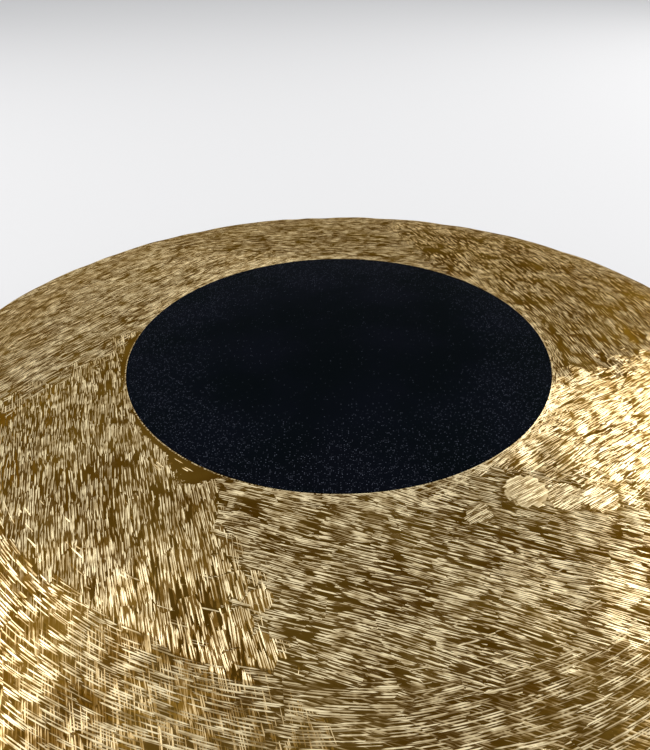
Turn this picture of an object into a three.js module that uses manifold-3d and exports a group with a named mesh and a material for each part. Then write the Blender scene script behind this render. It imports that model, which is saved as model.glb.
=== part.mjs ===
// A tam-tam: one hammered bronze sheet with a turned-back rim, and the black coat on its centre.
//
// Millimetres, +Z up. The gong lies face up on the edge of its rim: the rim's edge is the plane
// z = 0, and the gong's axis is the Z axis. The far side, +Y, is the top of the gong when it hangs.

import * as THREE from 'three';
import { mergeVertices } from 'three/addons/utils/BufferGeometryUtils.js';
import Module from 'manifold-3d';

// The bronze sheet.
const OUTER_RADIUS = 305;      // at the widest point of the shoulder, for a 610 mm (24 inch) gong
const SHEET = 2;               // thickness of the metal
const DOME_RADIUS = 1600;      // radius of the sphere that the struck face follows
const SHOULDER_RADIUS = 14;    // outside radius of the bend between the face and the rim
const SHOULDER_HEIGHT = 30;    // height of the bend's centre above the rim's edge
const RIM_LEAN = 8;            // degrees by which the rim closes in towards its edge

// The two holes for the hanging cord, through the rim on the +Y side.
const HOLE_DIAMETER = 10;
const HOLE_SPACING = 160;      // between the two holes, centre to centre
const HOLE_HEIGHT = 16;        // of the holes' centres above the rim's edge

// The black coat.
const COAT_RADIUS = 141;
const COAT_THICKNESS = 0.5;
const COAT_GAP = 0.3;          // clearance between the coat and the sheet under it

// How finely the round shapes are divided.
const SEGMENTS = 120;          // around the gong's axis
const COAT_STEPS = 3;          // from the centre to the coat's edge
const FACE_STEPS = 3;          // from the coat's edge to the shoulder
const BEND_STEPS = 7;          // from the dome to the shoulder's widest point
const HOLE_SIDES = 32;

const radians = THREE.MathUtils.degToRad;

// Centre of the shoulder's bend, and of the sphere that the face follows and that meets the bend
// without a kink.
const shoulderCentre = new THREE.Vector2(OUTER_RADIUS - SHOULDER_RADIUS, SHOULDER_HEIGHT);
const centreDistance = DOME_RADIUS - SHOULDER_RADIUS;
const domeCentreZ = SHOULDER_HEIGHT - Math.sqrt(centreDistance ** 2 - shoulderCentre.x ** 2);

// Slope of the surface at the coat's edge, where the dome meets the bend, at the shoulder's widest
// point and along the rim: the angle between the surface's normal and +Z.
const coatAngle = Math.asin(COAT_RADIUS / DOME_RADIUS);
const domeAngle = Math.asin(shoulderCentre.x / centreDistance);
const widestAngle = radians(90);
const rimAngle = radians(90 + RIM_LEAN);

/** Point (radius, height) on a circle, at an angle from the +Z direction. */
function onCircle(centreX, centreZ, radius, angle) {
  return new THREE.Vector2(centreX + radius * Math.sin(angle), centreZ + radius * Math.cos(angle));
}

/** Evenly spaced angles from one value to another, both included. */
function angles(from, to, steps) {
  return Array.from({ length: steps + 1 }, (_, i) => THREE.MathUtils.lerp(from, to, i / steps));
}

/** Points of the dome between two angles, on a surface raised above the struck face. */
function domePoints(from, to, steps, raised) {
  return angles(from, to, steps).map((angle) => onCircle(0, domeCentreZ, DOME_RADIUS + raised, angle));
}

/** One surface of the sheet, from the axis to the rim's edge, at a depth under the struck face. */
function sheetSurface(depth) {
  const middle = domePoints(0, coatAngle, COAT_STEPS, -depth);
  const face = domePoints(coatAngle, domeAngle, FACE_STEPS, -depth);
  const bend = [...angles(domeAngle, widestAngle, BEND_STEPS), rimAngle].map((angle) =>
    onCircle(shoulderCentre.x, shoulderCentre.y, SHOULDER_RADIUS - depth, angle));
  const bendEnd = bend[bend.length - 1];
  const edgeRadius = bendEnd.x - bendEnd.y * Math.tan(radians(RIM_LEAN));
  return [...middle, ...face.slice(1), ...bend.slice(1), new THREE.Vector2(edgeRadius, 0)];
}

/** Solid of revolution about +Z, from a profile of (radius, height) points that ends on the axis. */
function turned(profile) {
  const geometry = new THREE.LatheGeometry(profile, SEGMENTS);
  geometry.rotateX(Math.PI / 2);
  return geometry;
}

const wasm = await Module();
wasm.setup();

/** The manifold-3d solid of a closed geometry. */
function toSolid(geometry) {
  const bare = geometry.clone();
  bare.deleteAttribute('normal');
  bare.deleteAttribute('uv');
  const merged = mergeVertices(bare, 1e-4);
  const mesh = new wasm.Mesh({
    numProp: 3,
    vertProperties: new Float32Array(merged.attributes.position.array),
    triVerts: new Uint32Array(merged.index.array),
  });
  mesh.merge();
  return new wasm.Manifold(mesh);
}

/** The geometry of a manifold-3d solid. */
function toGeometry(solid) {
  const mesh = solid.getMesh();
  const geometry = new THREE.BufferGeometry();
  geometry.setAttribute('position', new THREE.BufferAttribute(mesh.vertProperties, 3));
  geometry.setIndex(new THREE.BufferAttribute(mesh.triVerts, 1));
  geometry.computeVertexNormals();
  return geometry;
}

/** A drill through the rim, along the radius that passes through a hole's centre. */
function cordHoleDrill(holeX) {
  const rimFoot = sheetSurface(SHEET / 2).pop();
  const rimRadius = rimFoot.x + HOLE_HEIGHT * Math.tan(radians(RIM_LEAN));
  const drillLength = 10 * SHEET;
  const azimuth = Math.asin(holeX / rimRadius);
  const drill = new THREE.CylinderGeometry(HOLE_DIAMETER / 2, HOLE_DIAMETER / 2, drillLength, HOLE_SIDES);
  drill.translate(0, rimRadius, 0);
  drill.rotateZ(-azimuth);
  drill.translate(0, 0, HOLE_HEIGHT);
  return drill;
}

/** The bronze sheet: dome, shoulder and rim in one piece, with its two cord holes. */
function gongPlate() {
  const profile = [...sheetSurface(0), ...sheetSurface(SHEET).reverse()];
  const sheet = toSolid(turned(profile.reverse()));
  const drilled = [-HOLE_SPACING / 2, HOLE_SPACING / 2]
    .map((holeX) => toSolid(cordHoleDrill(holeX)))
    .reduce((solid, drill) => solid.subtract(drill), sheet);
  return toGeometry(drilled);
}

/** The black coat, which follows the dome. */
function centreCoat() {
  const underside = domePoints(0, coatAngle, COAT_STEPS, COAT_GAP);
  const top = domePoints(0, coatAngle, COAT_STEPS, COAT_GAP + COAT_THICKNESS);
  return turned([...underside, ...top.reverse()]);
}

const scrapedBronze = new THREE.MeshStandardMaterial({ color: 0xc79d4b, roughness: 0.32, metalness: 1 });
const mattBlack = new THREE.MeshStandardMaterial({ color: 0x0b0e18, roughness: 0.7, metalness: 0 });

/** A named piece of the gong. */
function piece(name, geometry, material) {
  const mesh = new THREE.Mesh(geometry, material);
  mesh.name = name;
  return mesh;
}

const gong = new THREE.Group();
gong.add(piece('gong_plate', gongPlate(), scrapedBronze));
gong.add(piece('centre_coat', centreCoat(), mattBlack));

export default gong;
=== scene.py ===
import math

import bpy
import numpy as np
from mathutils import Matrix, Vector


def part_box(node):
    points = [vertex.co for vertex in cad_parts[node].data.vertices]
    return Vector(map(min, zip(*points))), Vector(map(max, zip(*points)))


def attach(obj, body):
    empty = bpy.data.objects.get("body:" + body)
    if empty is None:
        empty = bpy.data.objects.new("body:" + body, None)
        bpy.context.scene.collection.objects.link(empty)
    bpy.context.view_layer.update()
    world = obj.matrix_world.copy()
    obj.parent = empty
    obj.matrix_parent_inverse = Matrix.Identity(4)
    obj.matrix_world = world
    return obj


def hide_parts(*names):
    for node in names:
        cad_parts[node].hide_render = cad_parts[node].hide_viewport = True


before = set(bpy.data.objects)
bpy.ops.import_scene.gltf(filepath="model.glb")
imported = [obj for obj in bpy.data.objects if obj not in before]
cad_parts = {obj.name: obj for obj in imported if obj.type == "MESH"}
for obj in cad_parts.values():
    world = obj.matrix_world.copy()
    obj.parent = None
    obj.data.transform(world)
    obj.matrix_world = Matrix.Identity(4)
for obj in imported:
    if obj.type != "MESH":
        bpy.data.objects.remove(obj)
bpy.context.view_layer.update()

# Looks of a tam-tam that lies face up on its rim: the bronze sheet, hammered, scraped bright on its
# face in fields of strokes, and left raw on its rim and back, and the black coat on its middle.
# Metres, +Z up. The gong's axis is the Z axis, and its two cord holes are on the +Y side.

MM = 0.001

# ---------------------------------------------------------------------------------------------
# Sizes
# ---------------------------------------------------------------------------------------------

plate_low, plate_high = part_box("gong_plate")
coat_low, coat_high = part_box("centre_coat")

OUTER_RADIUS = plate_high[0]
APEX = plate_high[2]            # height of the middle of the struck face
COAT_RADIUS = coat_high[0]
SHEET = 2 * MM
DOME_RADIUS = 1600 * MM
SHOULDER_RADIUS = 14 * MM
RIM_LEAN = math.radians(8)
COAT_THICKNESS = 0.35 * MM      # how far the coat stands above the bronze
COAT_SUNK = 0.6 * MM            # how far the coat reaches down, so that no gap shows at a dent
COAT_EDGE_ROUNDING = 0.3 * MM
COAT_EDGE_STEPS = 4
RIM_EDGE_ROUNDING = 0.5 * MM    # broken edges of the rim and the holes

HOLE_RADIUS = 5 * MM
HOLE_SPACING = 160 * MM
HOLE_HEIGHT = 16 * MM
HOLE_EDGE = 0.45 * MM           # how far each hole's edges are broken
HOLE_SEGMENTS = 64
SHARP_ANGLE = math.radians(30)

# Steps of the meshes.
SEGMENTS = 540                  # around the gong
HIDDEN_RINGS = 6                # on the face, under the coat
FACE_RINGS = 56                 # from the coat's edge to the shoulder
BEND_RINGS = 14                 # round the shoulder
RIM_RINGS = 13
BACK_CENTRE_RINGS = 30          # on the back, behind the coat
BACK_RINGS = 36
FACE_SHARE_OF_BEND = 0.5        # how far round the shoulder the scraped face goes
FACE_UNDER_COAT = 4 * MM        # how far the face's finer rings reach in under the coat
COAT_RINGS = 40
COAT_SEGMENTS = 360

# Hammer dents: (seed, radius of a dent, depth of the deepest, number of dents).
DISC_DENTS = (5, 10 * MM, 0.26 * MM, 3200)
RIM_DENTS = (9, 7 * MM, 0.34 * MM, 2400)
RIM_DENT_REACH = 45 * MM        # above and below the rim's edge
BACK_MIDDLE = 3 * MM            # radius at the middle of the back that stays smooth
DENT_FADE = 12 * MM             # over which the disc's dents start
FOOT_FADE = 4 * MM              # over which the rim's dents end above its edge
BEND_FADE_TOP, BEND_FADE = 8 * MM, 10 * MM      # where the disc's dents give way to the rim's

# Where the dome ends and the shoulder's bend begins.
bend_centre_radius = OUTER_RADIUS - SHOULDER_RADIUS
dome_angle = math.asin(bend_centre_radius / (DOME_RADIUS - SHOULDER_RADIUS))
dome_centre_z = APEX - DOME_RADIUS
bend_centre_z = dome_centre_z + (DOME_RADIUS - SHOULDER_RADIUS) * math.cos(dome_angle)
rim_angle = math.radians(90) + RIM_LEAN


# ---------------------------------------------------------------------------------------------
# Camera, light and floor
# ---------------------------------------------------------------------------------------------

CAMERA_TARGET = Vector((-8.9 * MM, -43.7 * MM, APEX))
CAMERA_DISTANCE = 405.7 * MM
CAMERA_ELEVATION = math.radians(34.66)
CAMERA_ROLL = math.radians(-0.92)
CAMERA_LENS = 31.2              # on a 36 mm sensor

FLOOR_RADIUS = 60
FLOOR_SIDES = 96
FLOOR_COLOUR = (0.54, 0.545, 0.56, 1)

# Soft boxes: (name, azimuth and elevation in degrees, power in watts).
LIGHTS = (("key", 116, 32, 50), ("side", -92, 38, 54))
LIGHT_DISTANCE = 3.0
LIGHT_SIZE = 1.0
LIGHT_COLOUR = (1.0, 0.98, 0.95)
WORLD_STRENGTH = 0.88


def make_camera():
    """The camera: low over the near edge of the gong, looking across its middle."""
    data = bpy.data.cameras.new("camera")
    data.lens = CAMERA_LENS
    data.sensor_width = 36
    data.clip_start = 0.01
    data.clip_end = 100
    camera = bpy.data.objects.new("camera", data)
    bpy.context.scene.collection.objects.link(camera)
    back = Vector((0, -math.cos(CAMERA_ELEVATION), math.sin(CAMERA_ELEVATION)))
    level_right = Vector((1, 0, 0))
    level_up = back.cross(level_right)
    right = level_right * math.cos(CAMERA_ROLL) + level_up * math.sin(CAMERA_ROLL)
    up = level_up * math.cos(CAMERA_ROLL) - level_right * math.sin(CAMERA_ROLL)
    place = Matrix((right, up, back)).transposed().to_4x4()
    place.translation = CAMERA_TARGET + back * CAMERA_DISTANCE
    camera.matrix_world = place
    bpy.context.scene.camera = camera


def make_light(name, azimuth, elevation, power):
    """A soft box that faces the gong. Azimuth 0 is the camera's side, -Y, and 90 is +X."""
    data = bpy.data.lights.new(name, "AREA")
    data.shape = "SQUARE"
    data.size = LIGHT_SIZE
    data.energy = power
    data.color = LIGHT_COLOUR
    light = bpy.data.objects.new(name, data)
    bpy.context.scene.collection.objects.link(light)
    a, e = math.radians(azimuth), math.radians(elevation)
    out = Vector((math.sin(a) * math.cos(e), -math.cos(a) * math.cos(e), math.sin(e)))
    light.location = out * LIGHT_DISTANCE
    light.rotation_euler = out.to_track_quat("Z", "Y").to_euler()


def make_world():
    """An even white surround."""
    world = bpy.data.worlds.new("studio")
    world.use_nodes = True
    background = world.node_tree.nodes["Background"]
    background.inputs["Color"].default_value = (1, 1, 1, 1)
    background.inputs["Strength"].default_value = WORLD_STRENGTH
    bpy.context.scene.world = world


def make_floor():
    """A plain pale floor, a wide disc at the height on which the gong's rim rests."""
    mesh = bpy.data.meshes.new("floor")
    turns = [2 * math.pi * i / FLOOR_SIDES for i in range(FLOOR_SIDES)]
    corners = [(FLOOR_RADIUS * math.cos(t), FLOOR_RADIUS * math.sin(t), plate_low[2]) for t in turns]
    mesh.from_pydata(corners, [], [tuple(range(FLOOR_SIDES))])
    floor = bpy.data.objects.new("floor", mesh)
    bpy.context.scene.collection.objects.link(floor)
    material = bpy.data.materials.new("pale_floor")
    material.use_nodes = True
    shader = material.node_tree.nodes["Principled BSDF"]
    shader.inputs["Base Color"].default_value = FLOOR_COLOUR
    shader.inputs["Roughness"].default_value = 0.8
    mesh.materials.append(material)


# ---------------------------------------------------------------------------------------------
# Materials
# ---------------------------------------------------------------------------------------------

class Graph:
    """Builds a node tree with short calls. Each call adds a node and returns its output socket."""

    def __init__(self, material):
        self.tree = material.node_tree
        self.coords = None

    def node(self, kind, settings=None, inputs=None):
        made = self.tree.nodes.new(kind)
        for key, value in (settings or {}).items():
            setattr(made, key, value)
        for key, value in (inputs or {}).items():
            if isinstance(value, bpy.types.NodeSocket):
                self.tree.links.new(value, made.inputs[key])
            else:
                made.inputs[key].default_value = value
        return made

    def link(self, value, shader, socket):
        self.tree.links.new(value, shader.inputs[socket])

    def math(self, operation, *values):
        settings = {"operation": operation}
        return self.node("ShaderNodeMath", settings, dict(enumerate(values))).outputs[0]

    def add(self, a, b):
        return self.math("ADD", a, b)

    def sub(self, a, b):
        return self.math("SUBTRACT", a, b)

    def mul(self, a, b):
        return self.math("MULTIPLY", a, b)

    def step(self, value, start, end, low=0.0, high=1.0):
        """Smooth rise from low to high as value goes from start to end."""
        inputs = {"Value": value, "From Min": start, "From Max": end, "To Min": low, "To Max": high}
        settings = {"interpolation_type": "SMOOTHSTEP"}
        return self.node("ShaderNodeMapRange", settings, inputs).outputs["Result"]

    def vector(self, x, y, z=0.0):
        return self.node("ShaderNodeCombineXYZ", None, {0: x, 1: y, 2: z}).outputs[0]

    def split(self, vector):
        parts = self.node("ShaderNodeSeparateXYZ", None, {0: vector})
        return parts.outputs[0], parts.outputs[1], parts.outputs[2]

    def noise(self, vector, scale, detail=2.0, roughness=0.5):
        inputs = {"Vector": vector, "Scale": scale, "Detail": detail, "Roughness": roughness}
        return self.node("ShaderNodeTexNoise", None, inputs).outputs["Fac"]

    def cells(self, x, y, seed, randomness=1.0):
        """Random cells of a plane, one to a unit square: the distance from the cell's centre, three
        random numbers a cell, and the place within the cell, measured from its centre."""
        place = self.vector(self.add(x, seed * 13.7), self.add(y, seed * 7.3))
        inputs = {"Vector": place, "Scale": 1.0, "Randomness": randomness}
        settings = {"voronoi_dimensions": "2D"}
        made = self.node("ShaderNodeTexVoronoi", settings, inputs)
        numbers = self.node("ShaderNodeSeparateColor", None, {0: made.outputs["Color"]})
        offset = self.node("ShaderNodeVectorMath", {"operation": "SUBTRACT"},
                           {0: place, 1: made.outputs["Position"]})
        return made.outputs["Distance"], numbers.outputs, offset.outputs[0]

    def marks(self, vector, size):
        """Overlapping round marks of one size: 0 in the middle of each and rising to its border."""
        inputs = {"Vector": vector, "Scale": 1 / size, "Randomness": 1.0}
        return self.node("ShaderNodeTexVoronoi", None, inputs).outputs["Distance"]

    def colour(self, factor, first, second):
        """Mix of two colours."""
        made = self.node("ShaderNodeMix", {"data_type": "RGBA"})
        for socket, value in ((made.inputs[0], factor), (made.inputs[6], first), (made.inputs[7], second)):
            if isinstance(value, bpy.types.NodeSocket):
                self.tree.links.new(value, socket)
            else:
                socket.default_value = value if isinstance(value, float) else (*value, 1)
        return made.outputs[2]

    def bump(self, height, distance, strength=1.0, normal=None):
        inputs = {"Height": height, "Distance": distance, "Strength": strength}
        if normal is not None:
            inputs["Normal"] = normal
        return self.node("ShaderNodeBump", None, inputs).outputs[0]

    def millimetres(self):
        """The point's place on the gong, in millimetres."""
        if self.coords is None:
            place = self.node("ShaderNodeTexCoord").outputs["Object"]
            scaled = self.node("ShaderNodeVectorMath", {"operation": "SCALE"}, {0: place, "Scale": 1000.0})
            self.coords = scaled.outputs[0]
        return self.coords


def new_material(name, metallic, specular=0.5):
    """An empty Principled material, with its graph and its shader node."""
    material = bpy.data.materials.new(name)
    material.use_nodes = True
    shader = material.node_tree.nodes["Principled BSDF"]
    shader.inputs["Metallic"].default_value = metallic
    shader.inputs["Specular IOR Level"].default_value = specular
    return material, Graph(material), shader


# Colours, as linear red, green and blue.
# The bronze between the strokes is its own dark tone, made darker still with painted shade that stands in
# for the dark surroundings its smooth metal would reflect.
GROUND_COLOURS = ((0.074, 0.034, 0.0025), (0.112, 0.061, 0.008))    # bronze between the strokes
UNSCRAPED_COLOUR = (0.085, 0.048, 0.020)
STROKE_COLOURS = ((0.27, 0.16, 0.040), (1.0, 0.85, 0.53))           # from a faint stroke to a bright one
STROKE_TINT = (0.78, 0.62, 0.42, 1)                                 # keeps the bronze golden at a low angle
RAW_COLOURS = ((0.035, 0.022, 0.012), (0.19, 0.105, 0.04))          # fire scale, and the metal under it
FILED_COLOURS = ((0.30, 0.18, 0.055), (0.72, 0.52, 0.24))
COAT_COLOURS = ((0.0012, 0.0020, 0.0028), (0.0018, 0.0024, 0.0044))
SPECK_COLOUR = (0.075, 0.085, 0.115)

# The face is scraped in fields. Each is (where it begins around the coat's edge, the direction of its
# strokes, how bright they are, how much of the metal they cover). The brightness is partly the strokes'
# own tone and partly painted light, raised in some fields to stand in for the light that catches them.
# Angles are in degrees, counter-clockwise from +X as seen from above.
FIELDS = (
    (0, 105, 1.30, 0.54),
    (50, 172, 1.07, 0.68),
    (100, 48, 1.32, 0.86),
    (172, 107, 1.07, 0.86),
    (238, 163, 1.19, 0.90),
    (299, 36, 1.00, 1.12),
    (338, 100, 1.12, 0.54),
)
FIELD_SLANT = math.radians(52)  # between a radius and the straight border of a field
COAT_EDGE_MM = COAT_RADIUS / MM

# The strokes are laid in passes: (seed, turn of the fields' borders in degrees, share of strokes).
PASSES = ((3.0, -1.5, 1.0), (17.0, 2.0, 0.62))

STROKE_LENGTH_MM = 12
STROKE_PITCH_MM = 1.0
STROKE_THIN = 0.23              # half of a stroke's width, as a share of the pitch
STROKE_HALO = 0.07              # brightness of the rubbed metal beside a stroke
# Painted glints: brighter and duller patches painted into the strokes' colour, standing in for the light
# that the hammered relief catches.
PAINTED_GLINT_MM = 8                    # size of the brighter and duller patches that hammering leaves
DAB_LENGTH_MM = 24              # one push of the scraper
DAB_WIDTH_MM = 9
RING_RADIUS_MM = 230            # radius at which the strokes that run round have their true length
RING_DAB_LENGTH_MM, RING_DAB_WIDTH_MM = 40, 15
RING_DRIFT = 0.12               # how far those strokes stray from a true circle
PATCH_LEAN = math.radians(-28)  # slant of the dark gaps against the strokes

# Bare slivers beside the coat, where the scraper did not reach: (angles around the coat at which each
# begins, is widest, narrows again and ends, in degrees; its width in millimetres).
BARE = ((168, 174, 186, 204, 5), (203, 218, 238, 249, 4), (226, 237, 237.5, 244, 9))

# Strokes hug the coat's edge all round, but for a gap at the bare crescents.
COLLAR_GAP = 205
# On this side the collar reaches furthest out, and a painted highlight makes its strokes brightest there,
# where light from behind would catch them.
COLLAR_WIDE_LIT_SIDE = 125             # where they are brightest

# Tangential strokes cover the shoulder, and reach furthest in at one side.
SHOULDER_START_MM, SHOULDER_SWAY_MM, SHOULDER_NEAREST = 252, 26, 225
DULL_ARC, DULL_START_MM = 148, 280      # an arc of the shoulder that is scraped only thinly
SCRAPE_END_MM, SCRAPE_END_RAGGED_MM = 300, 7    # where the scraping stops on the shoulder

# Single oval dabs that lie over the fields: (x, y, half length, half width), and their direction.
# The first is rubbed bright all over, and the others are mostly separate strokes.
SINGLE_DABS = ((93.5, -138, 11.5, 10.5), (66, -153, 7.5, 5.3), (113, -141, 10, 8.5), (131.5, -141, 11, 8.5))
DAB_WAY = math.radians(32)
DAB_PITCH_MM = 0.75

# Where stray tangential scratches cross the bare crescent: (x, y, reach).
SCRATCHES = (-97, -110, 26)


def face_point(g):
    """A point of the struck face, seen from above, in millimetres: x, y, radius, angle."""
    x, y, _ = g.split(g.millimetres())
    radius = g.math("SQRT", g.add(g.mul(x, x), g.mul(y, y)))
    return x, y, radius, g.math("ARCTAN2", y, x)


def turned(g, x, y, angle):
    """Coordinates along and across a direction, which is a number or a socket."""
    if isinstance(angle, float):
        cosine, sine = math.cos(angle), math.sin(angle)
    else:
        cosine, sine = g.math("COSINE", angle), g.math("SINE", angle)
    along = g.add(g.mul(x, cosine), g.mul(y, sine))
    across = g.sub(g.mul(y, cosine), g.mul(x, sine))
    return along, across


def strokes(g, run, side, seed, share, length=STROKE_LENGTH_MM, pitch=STROKE_PITCH_MM):
    """Single strokes along run: how bright each is, and 0 between them. Share is how many there are."""
    _, numbers, offset = g.cells(g.mul(run, 1 / length), g.mul(side, 1 / pitch), seed, 0.9)
    off_run, off_side, _ = g.split(offset)
    half = g.mul(g.add(0.5, numbers[2]), STROKE_THIN)
    taper = g.step(g.math("ABSOLUTE", off_run), 0.28, 0.50, 1.0, 0.0)
    body = g.step(g.sub(g.mul(half, taper), g.math("ABSOLUTE", off_side)), -0.05, 0.06)
    centre_run = g.sub(run, g.mul(off_run, length))
    centre_side = g.sub(side, g.mul(off_side, pitch))
    lean, drift = turned(g, centre_run, centre_side, PATCH_LEAN)
    patch = g.noise(g.vector(g.mul(lean, 1 / 15), g.mul(drift, 1 / 4.5), seed), 1.0, 1.0)
    luck = g.add(g.add(g.mul(g.sub(patch, 0.5), 2.0), numbers[0]), share)
    present = g.step(luck, 0.98, 1.02)
    shine = g.add(0.30, g.mul(numbers[1], 0.75))
    return g.mul(g.math("MAXIMUM", g.mul(body, shine), STROKE_HALO), present)


def field_values(g, point, seed, turn):
    """Direction (radians), brightness and cover of the field in which a point lies."""
    x, y, radius, angle = point
    far = g.math("MAXIMUM", radius, COAT_EDGE_MM)
    sine = g.math("DIVIDE", COAT_EDGE_MM * math.sin(FIELD_SLANT), far)
    slant = g.sub(FIELD_SLANT, g.math("ARCSINE", sine))
    cell, jag, _ = g.cells(g.mul(x, 1 / 18), g.mul(y, 1 / 18), seed)
    bulge = g.mul(g.sub(cell, 0.42), math.radians(11))
    ragged = g.add(bulge, g.mul(g.sub(jag[0], 0.5), math.radians(5)))
    place = g.sub(g.add(angle, ragged), g.add(slant, math.radians(turn)))
    around = g.math("WRAP", place, 2 * math.pi, 0.0)
    ramp = g.node("ShaderNodeValToRGB", None, {0: g.mul(around, 1 / (2 * math.pi))})
    ramp.color_ramp.interpolation = "CONSTANT"
    for _ in FIELDS[2:]:
        ramp.color_ramp.elements.new(0.5)
    for element, (begin, direction, bright, cover) in zip(ramp.color_ramp.elements, FIELDS):
        element.position = begin / 360
        element.color = (direction / 180, bright, cover / 2, 1)
    values = g.node("ShaderNodeSeparateColor", None, {0: ramp.outputs[0]}).outputs
    return g.mul(values[0], math.pi), values[1], g.mul(values[2], 2)


def bare_width(g, point):
    """Width in millimetres of the bare metal beside the coat at a point's angle."""
    x, y, _, angle = point
    degrees = g.mul(g.math("WRAP", angle, 2 * math.pi, 0.0), 180 / math.pi)
    width = 0.0
    for begin, full, narrows, end, widest in BARE:
        rise = g.step(degrees, begin, full)
        fall = g.step(degrees, narrows, end, 1.0, 0.0)
        width = g.add(width, g.mul(g.mul(rise, fall), widest))
    ragged = g.mul(g.sub(g.noise(g.vector(x, y), 1 / 2.0, 1.0), 0.5), 1.0)
    return g.mul(width, g.add(1.0, ragged))


def field_pass(g, point, seed, turn, share):
    """One pass over the fields: how bright its strokes are at a point, and their direction."""
    x, y, radius, _ = point
    direction, bright, cover = field_values(g, point, seed, turn)
    along, across = turned(g, x, y, direction)
    cell, dab, _ = g.cells(g.mul(along, 1 / DAB_LENGTH_MM), g.mul(across, 1 / DAB_WIDTH_MM), seed)
    jitter = g.mul(g.sub(dab[0], 0.5), math.radians(9))
    run, side = turned(g, along, across, jitter)
    gaps = g.mul(g.math("MAXIMUM", g.sub(cell, 0.40), 0.0), 1.2)
    worn = g.noise(g.vector(g.mul(x, 1 / 26), g.mul(y, 1 / 26), seed), 1.0, 2.0)
    gaps = g.add(gaps, g.mul(g.sub(worn, 0.5), 1.7))
    run, side = g.add(run, g.mul(dab[1], 400)), g.add(side, g.mul(dab[2], 400))
    lines = strokes(g, run, side, seed, g.sub(g.mul(cover, share), gaps))
    start = g.add(bare_width(g, point), COAT_EDGE_MM - 1)
    reach = g.step(g.sub(radius, start), 0.0, 0.8)
    shine = g.mul(bright, g.add(0.85, g.mul(dab[1], 0.20)))
    return g.mul(g.mul(lines, reach), shine), g.add(direction, jitter)


def ring_pass(g, point, seed, share, bright):
    """Strokes that run round the gong at a constant radius, and their direction."""
    _, _, radius, angle = point
    run, side = g.mul(angle, RING_RADIUS_MM), radius
    _, dab, _ = g.cells(g.mul(run, 1 / RING_DAB_LENGTH_MM), g.mul(side, 1 / RING_DAB_WIDTH_MM), seed)
    side = g.add(side, g.mul(g.sub(dab[0], 0.5), g.mul(run, RING_DRIFT)))
    lines = strokes(g, run, side, seed, share)
    return g.mul(lines, bright), g.add(angle, math.pi / 2)


def shoulder_share(g, point):
    """Share of tangential strokes: dense along the shoulder, and stray scratches inside it."""
    x, y, radius, angle = point
    sway = g.mul(g.math("COSINE", g.sub(angle, math.radians(SHOULDER_NEAREST))), SHOULDER_SWAY_MM)
    _, jag, _ = g.cells(g.mul(x, 1 / 18), g.mul(y, 1 / 18), 8.0)
    start = g.sub(g.add(SHOULDER_START_MM, g.mul(g.sub(jag[0], 0.5), 8)), sway)
    dense = g.step(g.sub(radius, start), 0.0, 3.0, -0.08, 0.85)
    stray = g.step(g.sub(start, radius), 15.0, 60.0, 0.0, 0.35)
    dull = g.step(g.math("COSINE", g.sub(angle, math.radians(DULL_ARC))), 0.85, 0.97)
    dull = g.mul(dull, g.step(radius, DULL_START_MM, DULL_START_MM + 6))
    beside_x, beside_y = g.sub(x, SCRATCHES[0]), g.sub(y, SCRATCHES[1])
    beside = g.math("SQRT", g.add(g.mul(beside_x, beside_x), g.mul(beside_y, beside_y)))
    stray = g.sub(stray, g.step(beside, SCRATCHES[2] / 2, SCRATCHES[2], 0.36, 0.0))
    return g.sub(g.sub(dense, stray), g.mul(dull, 0.75))


def collar_share(g, point):
    """Share of the strokes that hug the coat's edge, all round but at the bare crescent."""
    x, y, radius, angle = point
    away = g.math("COSINE", g.sub(angle, math.radians(COLLAR_GAP)))
    there = g.step(away, 0.62, 0.78, 1.0, 0.0)
    _, jag, _ = g.cells(g.mul(x, 1 / 12), g.mul(y, 1 / 12), 9.0)
    facing = g.step(g.math("COSINE", g.sub(angle, math.radians(COLLAR_WIDE_LIT_SIDE))), 0.6, 0.95, 8.0, 18.0)
    edge = g.add(g.add(facing, COAT_EDGE_MM), g.mul(g.sub(jag[0], 0.5), 12))
    near = g.step(g.sub(edge, radius), 0.0, 2.0)
    return g.sub(g.mul(g.mul(there, near), 2.0), 1.0)


def single_dabs(g, point):
    """The single oval dabs: how bright their strokes are at a point, their direction, and how much
    of the other strokes they leave beside and under them."""
    x, y, _, _ = point
    along, across = turned(g, x, y, DAB_WAY)
    wobble = g.mul(g.sub(g.noise(g.vector(x, y), 1 / 4, 1.0), 0.5), 1.9)
    distances = []
    for centre_x, centre_y, half_length, half_width in SINGLE_DABS:
        centre_along = centre_x * math.cos(DAB_WAY) + centre_y * math.sin(DAB_WAY)
        centre_across = centre_y * math.cos(DAB_WAY) - centre_x * math.sin(DAB_WAY)
        long = g.mul(g.sub(along, centre_along), 1 / half_length)
        wide = g.mul(g.sub(across, centre_across), 1 / half_width)
        distances.append(g.add(g.mul(long, long), g.mul(wide, wide)))
    nearest = 9.0
    for distance in distances:
        nearest = g.math("MINIMUM", nearest, distance)
    solid = g.step(distances[0], 0.9, 1.2, 1.0, 0.12)
    inside = g.step(g.add(nearest, wobble), 0.85, 1.10, 1.0, 0.0)
    lines = strokes(g, along, across, 20.0, 1.4, STROKE_LENGTH_MM, DAB_PITCH_MM)
    filled = g.mul(g.step(nearest, 0.4, 1.0, 0.18, 0.44), solid)
    # The dabs' strokes are drawn 1.4 times brighter: a painted highlight that whitens them as caught light
    # would.
    filled = g.math("MAXIMUM", g.mul(lines, 1.4), filled)
    return g.mul(filled, inside), DAB_WAY, g.step(nearest, 1.1, 1.9, 0.38, 1.0)


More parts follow.
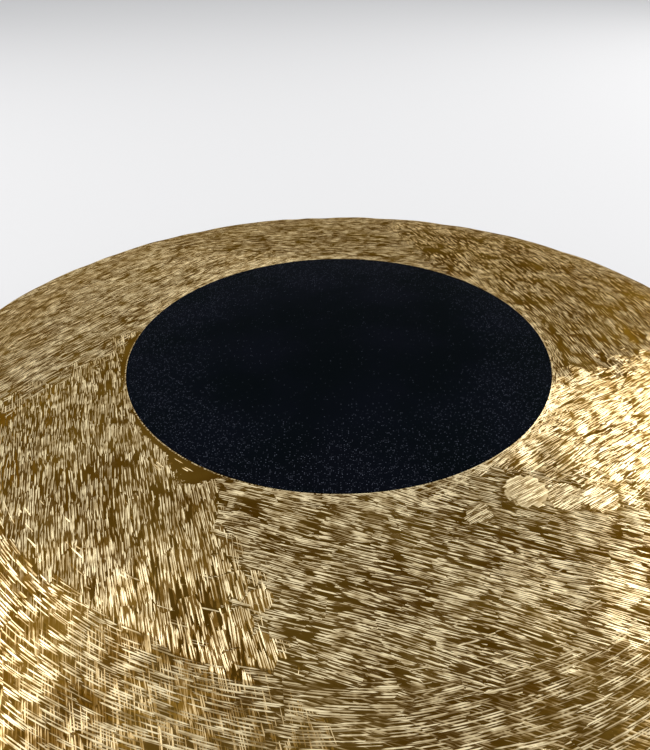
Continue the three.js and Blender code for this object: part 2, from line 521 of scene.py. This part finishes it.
def scraped_bronze():
    """The struck face: dark gold metal under passes of bright parallel scraper strokes."""
    material, g, shader = new_material("scraped_bronze", 1.0)
    point = face_point(g)
    x, y, radius, _ = point
    shoulder = shoulder_share(g, point)
    under = g.step(shoulder, 0.2, 0.6, 1.0, 0.30)
    layers = []
    for settings in PASSES:
        bright, way = field_pass(g, point, *settings)
        layers.append((g.mul(bright, under), way))
    layers.append(ring_pass(g, point, 5.0, shoulder, 1.0))
    # Painted highlight: the collar's strokes are drawn brighter towards one side, where light from behind
    # would catch them.
    facing = g.math("COSINE", g.sub(point[3], math.radians(COLLAR_WIDE_LIT_SIDE)))
    collar_painted_highlight = g.step(facing, 0.5, 0.95, 0.85, 1.3)
    layers.append(ring_pass(g, point, 6.0, collar_share(g, point), collar_painted_highlight))
    # Painted glints: the strokes' colour is made brighter and duller in patches, in place of light caught
    # by the hammered relief.
    painted_glint = g.noise(g.vector(x, y), 1 / PAINTED_GLINT_MM, 2.0)
    painted_glint = g.step(painted_glint, 0.36, 0.64, 0.45, 1.22)
    dabs, dab_way, left = single_dabs(g, point)
    painted_glint = g.mul(painted_glint, left)
    layers = [(g.mul(bright, painted_glint), way) for bright, way in layers]
    layers.append((dabs, dab_way))
    shine, direction = 0.0, 0.0
    for bright, way in layers:
        on_top = g.math("GREATER_THAN", bright, shine)
        direction = g.add(direction, g.mul(on_top, g.sub(way, direction)))
        shine = g.math("MAXIMUM", bright, shine)
    # A thin, broken pale ring of bright metal just outside the coat's edge.
    pale_ring = g.math("ABSOLUTE", g.sub(radius, COAT_EDGE_MM + 0.2))
    broken = g.step(g.noise(g.vector(x, y), 1 / 1.2, 1.0), 0.42, 0.60)
    pale_ring = g.mul(g.step(pale_ring, 0.2, 0.5, 0.55, 0.0), broken)
    shine = g.math("MAXIMUM", shine, pale_ring)
    blotches = g.noise(g.vector(x, y), 1 / 38, 3.0)
    # The ground between the strokes: its own blotchy tone, kept dark by painted shade in its colours.
    ground = g.colour(g.step(blotches, 0.35, 0.65), *GROUND_COLOURS)
    ragged = g.mul(g.sub(g.noise(g.vector(x, y), 1 / 7, 3.0), 0.5), SCRAPE_END_RAGGED_MM)
    unscraped = g.step(g.add(radius, ragged), SCRAPE_END_MM - 1, SCRAPE_END_MM + 1)
    ground = g.colour(unscraped, ground, UNSCRAPED_COLOUR)
    shine = g.mul(shine, g.sub(1.0, g.mul(unscraped, 0.85)))
    bright = g.colour(shine, *STROKE_COLOURS)
    colour = g.colour(g.step(shine, 0.0, 0.35), ground, bright)
    g.link(colour, shader, "Base Color")
    g.link(g.step(shine, 0.0, 0.3, 0.55, 0.36), shader, "Roughness")
    shader.inputs["Specular Tint"].default_value = STROKE_TINT
    shader.inputs["Anisotropic"].default_value = 0.75
    cosine, sine = g.math("COSINE", direction), g.math("SINE", direction)
    g.link(g.vector(g.mul(sine, -1.0), cosine, 0.0), shader, "Tangent")
    g.link(g.bump(shine, 0.05 * MM, 0.5), shader, "Normal")
    return material


def raw_bronze():
    """The rim and the back, as they come from the fire and the hammer: dark, uneven and dull."""
    material, g, shader = new_material("raw_bronze", 0.9)
    place = g.millimetres()
    patches = g.noise(place, 1 / 45, 4.0, 0.6)
    scale = g.noise(place, 1 / 3.5, 4.0, 0.65)
    grain = g.noise(place, 1 / 0.8, 2.0)
    hammered = g.marks(place, 16)
    tone = g.add(g.mul(patches, 0.6), g.mul(scale, 0.4))
    tone = g.sub(tone, g.mul(g.sub(hammered, 0.5), 0.16))
    colour = g.colour(g.step(tone, 0.38, 0.64), *RAW_COLOURS)
    g.link(colour, shader, "Base Color")
    g.link(g.step(tone, 0.35, 0.65, 0.54, 0.34), shader, "Roughness")
    dented = g.bump(g.mul(hammered, hammered), 0.9 * MM, 0.8)
    height = g.add(scale, g.mul(grain, 0.35))
    g.link(g.bump(height, 0.25 * MM, 0.5, dented), shader, "Normal")
    return material


def filed_edge():
    """Bare metal where the rim's edge and the holes were filed smooth."""
    material, g, shader = new_material("filed_edge", 1.0)
    x, y, z = g.split(g.millimetres())
    marks = g.noise(g.vector(x, y, g.mul(z, 8.0)), 1 / 2.0, 3.0, 0.6)
    colour = g.colour(g.step(marks, 0.35, 0.65), *FILED_COLOURS)
    g.link(colour, shader, "Base Color")
    g.link(g.step(marks, 0.3, 0.7, 0.45, 0.28), shader, "Roughness")
    g.link(g.bump(marks, 0.08 * MM, 0.5), shader, "Normal")
    return material


def black_coat():
    """Matt blue-black coat with fine pale specks, which grow denser towards its edge."""
    material, g, shader = new_material("black_coat", 0.0, 0.004)
    x, y, radius, _ = face_point(g)
    place = g.millimetres()
    cloud = g.noise(place, 1 / 55, 3.0)
    cell, speck, _ = g.cells(g.mul(x, 1 / 0.9), g.mul(y, 1 / 0.9), 1.0)
    dot = g.step(cell, 0.10, 0.36, 1.0, 0.0)
    edge = g.step(g.add(radius, g.mul(g.sub(cloud, 0.5), 120)), 70.0, 145.0, 0.0, 0.34)
    lucky = g.step(g.add(speck[0], edge), 0.95, 1.0)
    specks = g.mul(g.mul(dot, lucky), g.math("POWER", speck[1], 2.0))
    ground = g.colour(g.step(cloud, 0.3, 0.7), *COAT_COLOURS)
    colour = g.colour(specks, ground, SPECK_COLOUR)
    g.link(colour, shader, "Base Color")
    g.link(g.step(cloud, 0.3, 0.7, 0.66, 0.56), shader, "Roughness")
    grain = g.noise(place, 1 / 0.7, 3.0, 0.7)
    g.link(g.bump(grain, 0.12 * MM, 0.5), shader, "Normal")
    return material


# ---------------------------------------------------------------------------------------------
# The bronze sheet
# ---------------------------------------------------------------------------------------------

FACE, RAW, FILED = 0, 1, 2      # the sheet's material slots


def arc(centre_radius, centre_z, radius, start, end, steps):
    """Points (radius, height, normal) of an arc; angles are from +Z. The last point is left out."""
    points = []
    for i in range(steps):
        angle = start + (end - start) * i / steps
        normal = (math.sin(angle), math.cos(angle))
        points.append((centre_radius + radius * normal[0], centre_z + radius * normal[1], normal))
    return points


def sheet_side(depth, hidden_steps, face_steps, bend_steps, rim_steps, foot):
    """One surface of the sheet from the axis to the rim's foot, at a depth under the face."""
    coat_angle = math.asin((COAT_RADIUS - FACE_UNDER_COAT) / DOME_RADIUS)
    points = arc(0, dome_centre_z, DOME_RADIUS - depth, 0, coat_angle, hidden_steps)
    points += arc(0, dome_centre_z, DOME_RADIUS - depth, coat_angle, dome_angle, face_steps)
    bend = SHOULDER_RADIUS - depth
    points += arc(bend_centre_radius, bend_centre_z, bend, dome_angle, rim_angle, bend_steps)
    top_radius = bend_centre_radius + bend * math.sin(rim_angle)
    top_z = bend_centre_z + bend * math.cos(rim_angle)
    normal = (math.sin(rim_angle), math.cos(rim_angle))
    for i in range(rim_steps + 1):
        z = top_z + (foot - top_z) * i / rim_steps
        points.append((top_radius - (top_z - z) * math.tan(RIM_LEAN), z, normal))
    return points


def dents(u, v, size_u, size_v, kind):
    """Depth of overlapping round hammer dents at points (u, v) on a field of the given size."""
    seed, spread, depth, count = kind
    rng = np.random.default_rng(seed)
    total = np.zeros(len(u))
    order = np.argsort(u)
    u_sorted, v_sorted = u[order], v[order]
    for _ in range(count):
        cu = rng.uniform(-size_u, size_u)
        cv = rng.uniform(-size_v, size_v)
        wide = spread * rng.uniform(0.7, 1.4)
        deep = depth * rng.uniform(0.4, 1.0)
        first, last = np.searchsorted(u_sorted, (cu - 3 * wide, cu + 3 * wide))
        square = ((u_sorted[first:last] - cu) ** 2 + (v_sorted[first:last] - cv) ** 2) / wide ** 2
        total[order[first:last]] += deep * np.exp(-square)
    return total


def revolve(rings, dent_depth):
    """Vertices of the rings, pushed in along each ring's normal by dent_depth(x, y, turn)."""
    turn = np.linspace(0, 2 * math.pi, SEGMENTS, endpoint=False)
    radius = np.array([r for r, _, _ in rings])[:, None]
    height = np.array([z for _, z, _ in rings])[:, None]
    normal_r = np.array([n[0] for _, _, n in rings])[:, None]
    normal_z = np.array([n[1] for _, _, n in rings])[:, None]
    push = dent_depth(radius * np.cos(turn), radius * np.sin(turn), turn)
    out = radius - push * normal_r
    return np.stack([out * np.cos(turn), out * np.sin(turn), height - push * normal_z], axis=-1)


def closed_rings():
    """The sheet's whole outline, from the axis over the face, round the rim's edge and back inside,
    with the material slot of the band that follows each ring."""
    foot = plate_low[2]
    outside = sheet_side(0, HIDDEN_RINGS, FACE_RINGS, BEND_RINGS, RIM_RINGS, foot + RIM_EDGE_ROUNDING)
    inside = sheet_side(SHEET, BACK_CENTRE_RINGS, BACK_RINGS, BEND_RINGS // 2, RIM_RINGS,
                        foot + RIM_EDGE_ROUNDING)
    edge = []
    for (r, _, _), sign in ((outside[-1], -1), (inside[-1], 1)):
        inset = sign * (RIM_EDGE_ROUNDING + RIM_EDGE_ROUNDING * math.tan(RIM_LEAN))
        edge.append((r + inset, foot, (0, -1)))
    face_end = HIDDEN_RINGS + FACE_RINGS + int(BEND_RINGS * FACE_SHARE_OF_BEND)
    slots = [FACE] * face_end + [RAW] * (len(outside) - 1 - face_end)
    slots += [FILED] * 3 + [RAW] * (len(inside) - 1)
    back = [(r, z, (-n[0], -n[1])) for r, z, n in reversed(inside)]
    return outside + edge + back, slots, len(outside)


def ring_faces(rings, segments):
    """Faces of a closed solid: rings of points from top to bottom, then the top and bottom points."""
    faces = []
    for i in range(rings - 1):
        for j in range(segments):
            a, b = i * segments + j, i * segments + (j + 1) % segments
            faces.append((a, a + segments, b + segments, b))
    last = (rings - 1) * segments
    top, bottom = rings * segments, rings * segments + 1
    for j in range(segments):
        k = (j + 1) % segments
        faces.append((top, j, k))
        faces.append((bottom, last + k, last + j))
    return faces


def mesh_object(name, verts, faces, materials):
    mesh = bpy.data.meshes.new(name)
    mesh.from_pydata(np.asarray(verts).tolist(), [], faces)
    for material in materials:
        mesh.materials.append(material)
    mesh.polygons.foreach_set("use_smooth", [True] * len(faces))
    made = bpy.data.objects.new(name, mesh)
    bpy.context.scene.collection.objects.link(made)
    return made


def make_sheet():
    """The bronze sheet as one closed mesh, hammered all over, with its two cord holes."""
    rings, slots, outside_count = closed_rings()
    ring_number = np.arange(len(rings))[:, None]
    is_outside = ring_number < outside_count
    is_foot = (ring_number >= outside_count) & (ring_number < outside_count + 2)
    height = np.array([z for _, z, _ in rings])[:, None]
    radius = np.array([r for r, _, _ in rings])[:, None]

    def push(x, y, turn):
        disc = dents(x.ravel(), y.ravel(), OUTER_RADIUS, OUTER_RADIUS, DISC_DENTS)
        disc = disc.reshape(x.shape)
        around = np.broadcast_to(turn * OUTER_RADIUS, x.shape)
        up = np.broadcast_to(height, x.shape)
        circumference = 2 * math.pi * OUTER_RADIUS
        rim = dents(around.ravel(), up.ravel(), circumference, RIM_DENT_REACH, RIM_DENTS)
        rim = rim.reshape(x.shape)
        on_rim = np.clip((bend_centre_z + BEND_FADE_TOP - height) / BEND_FADE, 0, 1)
        first = np.where(is_outside, COAT_RADIUS, BACK_MIDDLE)
        on_disc = np.clip((radius - first) / DENT_FADE, 0, 1) * (1 - on_rim)
        foot_fade = np.clip((height - plate_low[2]) / FOOT_FADE, 0, 1)
        depth = disc * on_disc + rim * on_rim * foot_fade
        depth = np.where(is_outside, depth, -depth)
        return np.where(is_foot, 0, depth)

    points = revolve(rings, push)
    count = len(rings)
    verts = points[1:-1].reshape(-1, 3)
    top = np.array([[0, 0, rings[0][1]]])
    bottom = np.array([[0, 0, rings[-1][1]]])
    verts = np.concatenate([verts, top, bottom])
    faces = ring_faces(count - 2, SEGMENTS)
    face_slots = [slot for slot in slots[1:-1] for _ in range(SEGMENTS)]
    face_slots += [FACE, RAW] * SEGMENTS
    materials = (scraped_bronze(), raw_bronze(), filed_edge())
    sheet = mesh_object("gong_sheet", verts, faces, materials)
    sheet.data.polygons.foreach_set("material_index", face_slots)
    cut_holes(sheet)
    return sheet


def hole_cutter(hole_x, slots):
    """A closed cutter for one cord hole. It follows the radius through the hole, and it flares where
    it meets the sheet, so that the hole's edges come out broken."""
    foot_radius = bend_centre_radius + SHOULDER_RADIUS * math.sin(rim_angle)
    foot_radius -= (bend_centre_z + SHOULDER_RADIUS * math.cos(rim_angle)) * math.tan(RIM_LEAN)
    outer = foot_radius + HOLE_HEIGHT * math.tan(RIM_LEAN)
    inner = outer - SHEET / math.cos(RIM_LEAN)
    reach, flare = 4 * MM, HOLE_EDGE
    profile = (
        (inner - reach, HOLE_RADIUS + flare + reach),
        (inner + flare, HOLE_RADIUS),
        (outer - flare, HOLE_RADIUS),
        (outer + reach, HOLE_RADIUS + flare + reach),
    )
    turn = np.linspace(0, 2 * math.pi, HOLE_SEGMENTS, endpoint=False)
    azimuth = math.asin(hole_x / ((inner + outer) / 2))
    rings = []
    for along, radius in profile:
        across = radius * np.cos(turn)
        x = along * math.sin(azimuth) + across * math.cos(azimuth)
        y = along * math.cos(azimuth) - across * math.sin(azimuth)
        rings.append(np.stack([x, y, plate_low[2] + HOLE_HEIGHT + radius * np.sin(turn)], axis=-1))
    for along in (profile[0][0], profile[-1][0]):
        middle = (along * math.sin(azimuth), along * math.cos(azimuth), plate_low[2] + HOLE_HEIGHT)
        rings.append(np.array([middle]))
    verts = np.concatenate(rings)
    faces = ring_faces(len(profile), HOLE_SEGMENTS)
    cutter = mesh_object("hole_cutter", verts, faces, slots)
    cutter.data.polygons.foreach_set("material_index", [FILED] * len(faces))
    return cutter


def cut_holes(sheet):
    """Cuts the two cord holes and keeps their edges crisp."""
    cutters = []
    for hole_x in (-HOLE_SPACING / 2, HOLE_SPACING / 2):
        cutter = hole_cutter(hole_x, sheet.data.materials)
        cut = sheet.modifiers.new("cord_hole", "BOOLEAN")
        cut.object = cutter
        cut.operation = "DIFFERENCE"
        cut.solver = "EXACT"
        cutters.append(cutter)
    bpy.context.view_layer.update()
    shaped = sheet.evaluated_get(bpy.context.evaluated_depsgraph_get())
    holed = bpy.data.meshes.new_from_object(shaped)
    sheet.modifiers.clear()
    sheet.data = holed
    for cutter in cutters:
        bpy.data.objects.remove(cutter)
    holed.set_sharp_from_angle(angle=SHARP_ANGLE)


def make_coat():
    """The black coat: a thin closed skin that follows the dome, with a softly rounded edge."""
    rings = []
    edge_angle = COAT_RADIUS / DOME_RADIUS
    rounding = COAT_EDGE_ROUNDING / DOME_RADIUS
    for i in range(1, COAT_RINGS + 1):
        angle = (edge_angle - rounding) * i / COAT_RINGS
        rings.append((angle, COAT_THICKNESS))
    for i in range(1, COAT_EDGE_STEPS + 1):
        turn = math.pi / 2 * i / COAT_EDGE_STEPS
        rings.append((edge_angle - rounding * (1 - math.sin(turn)), COAT_THICKNESS * math.cos(turn)))
    rings.append((edge_angle, -COAT_SUNK))
    rings.append((0.5 * edge_angle, -COAT_SUNK))
    turn = np.linspace(0, 2 * math.pi, COAT_SEGMENTS, endpoint=False)
    angle = np.array([a for a, _ in rings])[:, None]
    length = DOME_RADIUS + np.array([h for _, h in rings])[:, None]
    radius = length * np.sin(angle)
    z = np.broadcast_to(dome_centre_z + length * np.cos(angle), (len(rings), COAT_SEGMENTS))
    verts = np.stack([radius * np.cos(turn), radius * np.sin(turn), z], axis=-1).reshape(-1, 3)
    top = [[0, 0, APEX + COAT_THICKNESS]]
    bottom = [[0, 0, APEX - COAT_SUNK]]
    verts = np.concatenate([verts, top, bottom])
    faces = ring_faces(len(rings), COAT_SEGMENTS)
    return mesh_object("black_centre", verts, faces, [black_coat()])


make_camera()
make_world()
for settings in LIGHTS:
    make_light(*settings)
make_floor()

sheet = make_sheet()
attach(sheet, "root")
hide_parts("gong_plate")

coat = make_coat()
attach(coat, "root")
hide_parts("centre_coat")

view = bpy.context.scene.view_settings
view.view_transform = "Standard"
